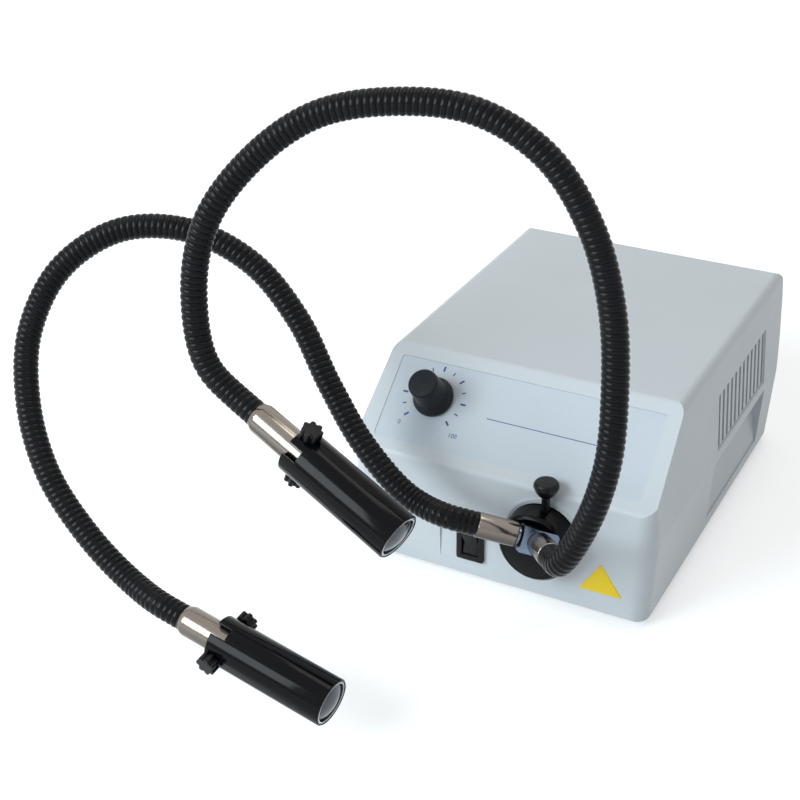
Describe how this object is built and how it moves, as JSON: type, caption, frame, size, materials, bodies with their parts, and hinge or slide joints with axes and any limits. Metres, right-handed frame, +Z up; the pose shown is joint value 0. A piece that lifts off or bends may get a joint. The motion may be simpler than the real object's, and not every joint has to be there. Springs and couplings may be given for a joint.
{
  "type": "fiber optic illuminator",
  "caption": "Bench fibre optic light source: a louvred lamp case with a dimmer knob, a rocker switch and a clamped port feeding a twin gooseneck light guide with focusing lens barrels.",
  "frame": {"origin": "middle of the four feet, which is the middle of the case's footprint, on the bench plane", "axes": "+Z up; the case's front, with the port and the controls, faces -Y; +X is the right hand of someone facing the front"},
  "size_m": [0.3131, 0.3878, 0.2822],
  "materials": {
    "case_plastic": "fine grain, cool light grey",
    "black_plastic": "satin",
    "rubber": "matt",
    "label": "printed film",
    "steel": "bright",
    "chrome": "polished",
    "black_metal": "black anodised, satin",
    "block_metal": "polished",
    "heat_sink": "extruded, bare",
    "glass": "polished",
    "fibre": "bundled strands",
    "hose": "gloss black",
    "board": "solder resist",
    "ceramic": "white board",
    "soft_white": "plain"
  },
  "bodies": {
    "case": {"upper_cover": "case_plastic", "lower_case": "case_plastic", "rubber_feet": "rubber", "case_screws": "steel", "control_label": "label", "control_pot": "steel", "rocker_frame": "black_plastic", "nosepiece": "black_metal", "condenser_lens": "glass", "led_board": "ceramic", "led_heat_sink": "heat_sink", "fan_frame": "black_plastic", "power_supply": "board", "circuit_board": "board", "power_inlet": "black_plastic"},
    "knob": {"intensity_knob": "black_plastic", "knob_shaft": "steel"},
    "rocker": {"rocker_button": "black_plastic"},
    "clamp_tip": {"clamp_pad": "soft_white"},
    "clamp": {"clamp_screw": "black_plastic"},
    "fan": {"fan_rotor": "black_plastic"},
    "fuse": {"fuse_drawer": "black_plastic"},
    "adapter": {"port_adapter": "black_metal"},
    "guide": {"guide_plug": "black_metal", "split_block": "block_metal", "right_base_sleeve": "chrome", "right_hose_1": "hose", "right_bundle_1": "fibre", "left_base_sleeve": "chrome", "left_hose_1": "hose", "left_bundle_1": "fibre"},
    "right_arm_2": {"right_hose_2": "hose", "right_bundle_2": "fibre"},
    "right_arm_3": {"right_hose_3": "hose", "right_bundle_3": "fibre"},
    "right_arm_4": {"right_hose_4": "hose", "right_bundle_4": "fibre"},
    "right_arm_5": {"right_hose_5": "hose", "right_bundle_5": "fibre", "right_tip_sleeve": "chrome"},
    "right_focus": {"right_barrel": "black_metal", "right_lens": "glass", "right_lens_ring": "chrome"},
    "right_lock_1": {"right_barrel_screw_1": "black_plastic"},
    "right_lock_2": {"right_barrel_screw_2": "black_plastic"},
    "left_arm_2": {"left_hose_2": "hose", "left_bundle_2": "fibre"},
    "left_arm_3": {"left_hose_3": "hose", "left_bundle_3": "fibre"},
    "left_arm_4": {"left_hose_4": "hose", "left_bundle_4": "fibre"},
    "left_arm_5": {"left_hose_5": "hose", "left_bundle_5": "fibre", "left_tip_sleeve": "chrome"},
    "left_focus": {"left_barrel": "black_metal", "left_lens": "glass", "left_lens_ring": "chrome"},
    "left_lock_1": {"left_barrel_screw_1": "black_plastic"},
    "left_lock_2": {"left_barrel_screw_2": "black_plastic"}
  },
  "joints": [
    {"name": "intensity_turn", "type": "hinge", "parent": "case", "child": "knob", "pos_m": [-0.0484, -0.08778, 0.09288], "axis": [0, 0.6574, -0.7536], "range_deg": [-135, 135]},
    {"name": "rocker_tilt", "type": "hinge", "parent": "case", "child": "rocker", "pos_m": [-0.0147, -0.1081, 0.0268], "axis": [-1, 0, 0], "range_deg": [0, 16]},
    {"name": "clamp_travel", "type": "slide", "parent": "case", "child": "clamp_tip", "axis": [0, 0, 1], "range_m": [0, 0.0016]},
    {"name": "clamp_turn", "type": "hinge", "parent": "clamp_tip", "child": "clamp", "pos_m": [0.0289, -0.1182, 0.0632], "axis": [0, 0, 1], "range_deg": [0, 720]},
    {"name": "fan_spin", "type": "hinge", "parent": "case", "child": "fan", "pos_m": [0.036, 0.1055, 0.055], "axis": [0, 1, 0], "continuous": true},
    {"name": "fuse_slide", "type": "slide", "parent": "case", "child": "fuse", "axis": [0, 1, 0], "range_m": [0, 0.018]},
    {"name": "adapter_slide", "type": "slide", "parent": "case", "child": "adapter", "axis": [0, -1, 0], "range_m": [0, 0.03]},
    {"name": "guide_turn", "type": "hinge", "parent": "adapter", "child": "guide", "pos_m": [0.0263, -0.1276, 0.0442], "axis": [0, -1, 0], "range_deg": [-30, 1]},
    {"name": "right_bend_1", "type": "hinge", "parent": "guide", "child": "right_arm_2", "pos_m": [0.07461, -0.15725, 0.14809], "axis": [0.0339, 0.9527, -0.3021], "range_deg": [-12, 12]},
    {"name": "right_bend_2", "type": "hinge", "parent": "right_arm_2", "child": "right_arm_3", "pos_m": [0.04571, -0.1425, 0.24204], "axis": [-0.8196, 0, -0.5729], "range_deg": [-15, 15]},
    {"name": "right_bend_3", "type": "hinge", "parent": "right_arm_3", "child": "right_arm_4", "pos_m": [-0.04234, -0.15727, 0.27422], "axis": [-0.2547, 0.9664, -0.0356], "range_deg": [-15, 15]},
    {"name": "right_bend_4", "type": "hinge", "parent": "right_arm_4", "child": "right_arm_5", "pos_m": [-0.11275, -0.19006, 0.21703], "axis": [0.9546, 0, -0.298], "range_deg": [-15, 15]},
    {"name": "right_focus_slide", "type": "slide", "parent": "right_arm_5", "child": "right_focus", "axis": [0.9101, -0.1769, -0.3746], "range_m": [-0.01, 0.008]},
    {"name": "right_lock_turn_1", "type": "hinge", "parent": "right_focus", "child": "right_lock_1", "pos_m": [-0.04609, -0.21614, 0.13681], "axis": [0.3677, -0.0715, 0.9272], "range_deg": [0, 360]},
    {"name": "right_lock_turn_2", "type": "hinge", "parent": "right_focus", "child": "right_lock_2", "pos_m": [-0.0547, -0.21447, 0.11511], "axis": [-0.3677, 0.0715, -0.9272], "range_deg": [0, 360]},
    {"name": "left_bend_1", "type": "hinge", "parent": "guide", "child": "left_arm_2", "pos_m": [-0.07877, -0.13743, 0.11067], "axis": [0.1691, 0.9675, -0.1882], "range_deg": [-12, 4]},
    {"name": "left_bend_2", "type": "hinge", "parent": "left_arm_2", "child": "left_arm_3", "pos_m": [-0.14817, -0.13293, 0.18081], "axis": [-0.425, 0, -0.9052], "range_deg": [-8, 15]},
    {"name": "left_bend_3", "type": "hinge", "parent": "left_arm_3", "child": "left_arm_4", "pos_m": [-0.2203, -0.18295, 0.15699], "axis": [-0.1486, 0.7799, -0.6081], "range_deg": [-15, 2]},
    {"name": "left_bend_4", "type": "hinge", "parent": "left_arm_4", "child": "left_arm_5", "pos_m": [-0.18657, -0.23082, 0.07963], "axis": [0.6536, 0, 0.7568], "range_deg": [-15, 12]},
    {"name": "left_focus_slide", "type": "slide", "parent": "left_arm_5", "child": "left_focus", "axis": [0.9809, -0.0686, -0.1822], "range_m": [-0.008, 0.01]},
    {"name": "left_lock_turn_1", "type": "hinge", "parent": "left_focus", "child": "left_lock_1", "pos_m": [-0.071, -0.24325, 0.04164], "axis": [0.1003, 0.9802, 0.1707], "range_deg": [0, 360]},
    {"name": "left_lock_turn_2", "type": "hinge", "parent": "left_focus", "child": "left_lock_2", "pos_m": [-0.07335, -0.26618, 0.03765], "axis": [-0.1003, -0.9802, -0.1707], "range_deg": [0, 360]}
  ],
  "couplings": [
    {"joint": "clamp_turn", "follows": "clamp_travel", "rad_per_m": 7854}
  ]
}
